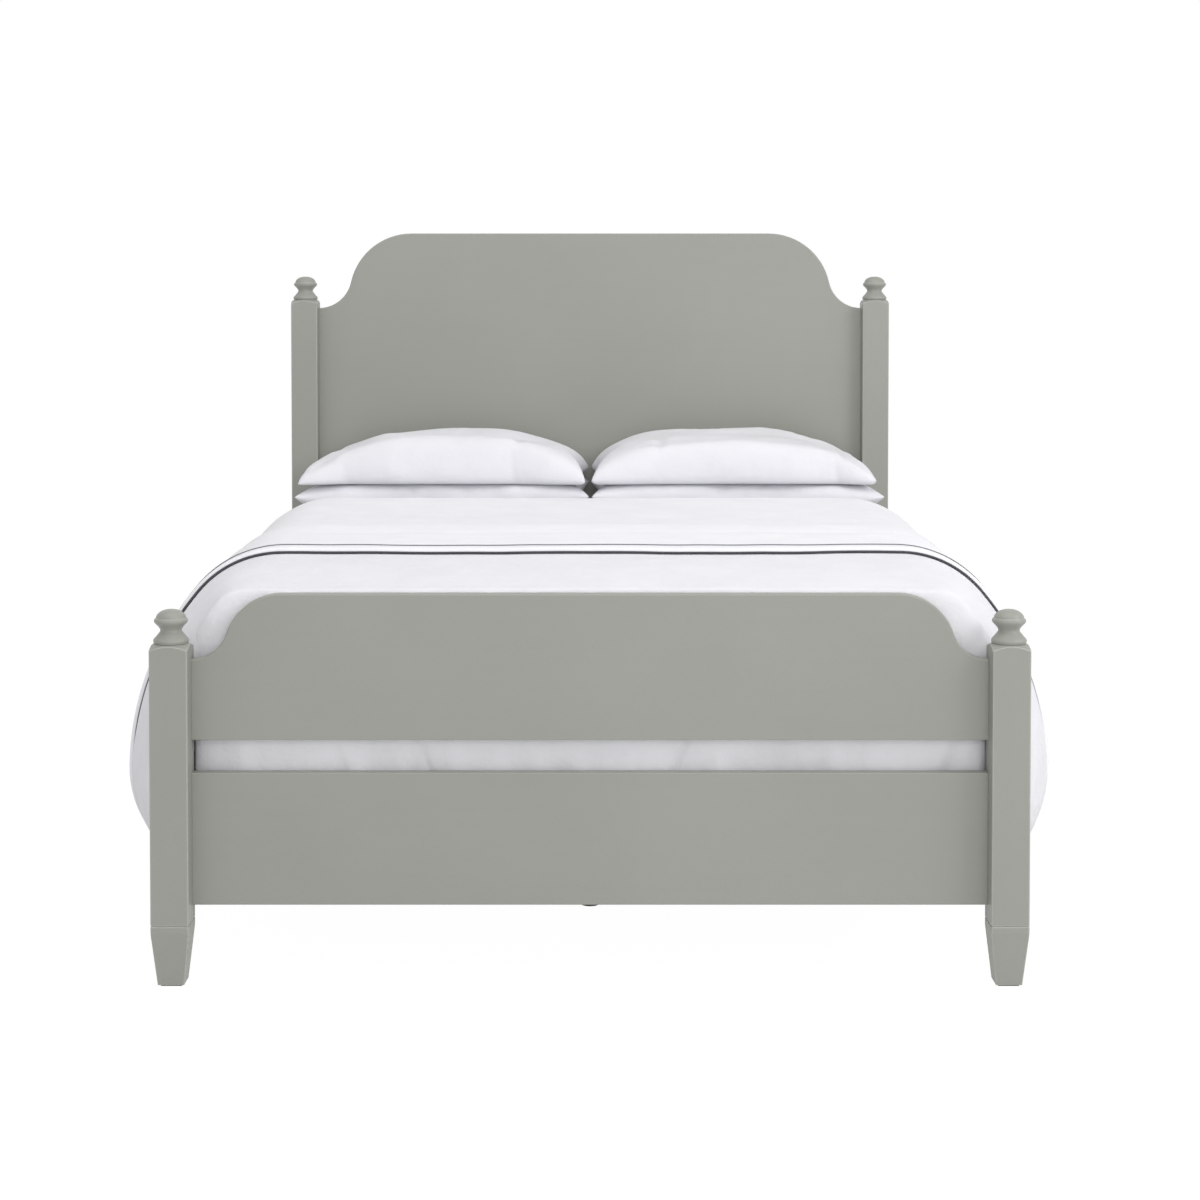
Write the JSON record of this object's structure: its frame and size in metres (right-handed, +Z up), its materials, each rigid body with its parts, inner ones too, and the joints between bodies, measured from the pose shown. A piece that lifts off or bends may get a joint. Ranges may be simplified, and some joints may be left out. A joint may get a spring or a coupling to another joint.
{
  "type": "poster bed",
  "caption": "Painted poster bed with turned finials, S-shouldered solid head and foot panels, hooked side rails on slats, and white bedding.",
  "frame": {"origin": "on the floor under the middle of the bed", "axes": "+Z up, +Y from the footboard to the headboard, +X to the right seen from the foot"},
  "size_m": [1.9516, 2.173, 1.494],
  "materials": {
    "painted_wood": "satin",
    "bare_wood": "matte",
    "zinc_steel": "satin",
    "grey_nylon": "matte",
    "mattress_ticking": "matte",
    "foundation_cloth": "matte",
    "sheet_cotton": "matte",
    "duvet_cotton": "matte",
    "pillow_cotton": "matte"
  },
  "bodies": {
    "bed": {"head_finials": "painted_wood", "head_post_left": "painted_wood", "head_hook_plate_left": "zinc_steel", "head_slot_plate_left": "zinc_steel", "head_post_right": "painted_wood", "head_hook_plate_right": "zinc_steel", "head_slot_plate_right": "zinc_steel", "foot_finials": "painted_wood", "foot_post_left": "painted_wood", "foot_hook_plate_left": "zinc_steel", "foot_slot_plate_left": "zinc_steel", "foot_post_right": "painted_wood", "foot_hook_plate_right": "zinc_steel", "foot_slot_plate_right": "zinc_steel", "headboard_panel": "painted_wood", "footboard_panel": "painted_wood", "headboard_rail": "painted_wood", "footboard_rail": "painted_wood", "side_rail_left": "painted_wood", "side_rail_right": "painted_wood", "slat_ledger_left": "bare_wood", "slat_ledger_right": "bare_wood", "centre_beam": "bare_wood", "slat_01": "bare_wood", "slat_02": "bare_wood", "slat_03": "bare_wood", "slat_04": "bare_wood", "slat_05": "bare_wood", "slat_06": "bare_wood", "slat_07": "bare_wood", "slat_08": "bare_wood", "slat_09": "bare_wood", "slat_10": "bare_wood", "slat_11": "bare_wood", "middle_leg_1": "bare_wood", "middle_leg_2": "bare_wood", "middle_leg_3": "bare_wood", "finial_bolts": "zinc_steel", "plate_screws": "zinc_steel", "leg_bolts": "zinc_steel", "leg_inserts": "zinc_steel", "beam_bracket_head": "zinc_steel", "beam_bracket_foot": "zinc_steel", "post_glides": "grey_nylon", "foundation": "foundation_cloth", "mattress": "mattress_ticking", "fitted_sheet": "sheet_cotton", "duvet": "duvet_cotton", "turned_sheet": "sheet_cotton", "lower_pillow_left": "pillow_cotton", "lower_pillow_right": "pillow_cotton", "upper_pillow_left": "pillow_cotton", "upper_pillow_right": "pillow_cotton"},
    "levelling_foot_1": {"levelling_foot_1": "grey_nylon"},
    "levelling_foot_2": {"levelling_foot_2": "grey_nylon"},
    "levelling_foot_3": {"levelling_foot_3": "grey_nylon"}
  },
  "joints": [
    {"name": "foot_1_screw", "type": "slide", "parent": "bed", "child": "levelling_foot_1", "axis": [0, 0, -1], "range_m": [0, 0.02]},
    {"name": "foot_2_screw", "type": "slide", "parent": "bed", "child": "levelling_foot_2", "axis": [0, 0, -1], "range_m": [0, 0.02]},
    {"name": "foot_3_screw", "type": "slide", "parent": "bed", "child": "levelling_foot_3", "axis": [0, 0, -1], "range_m": [0, 0.02]}
  ]
}
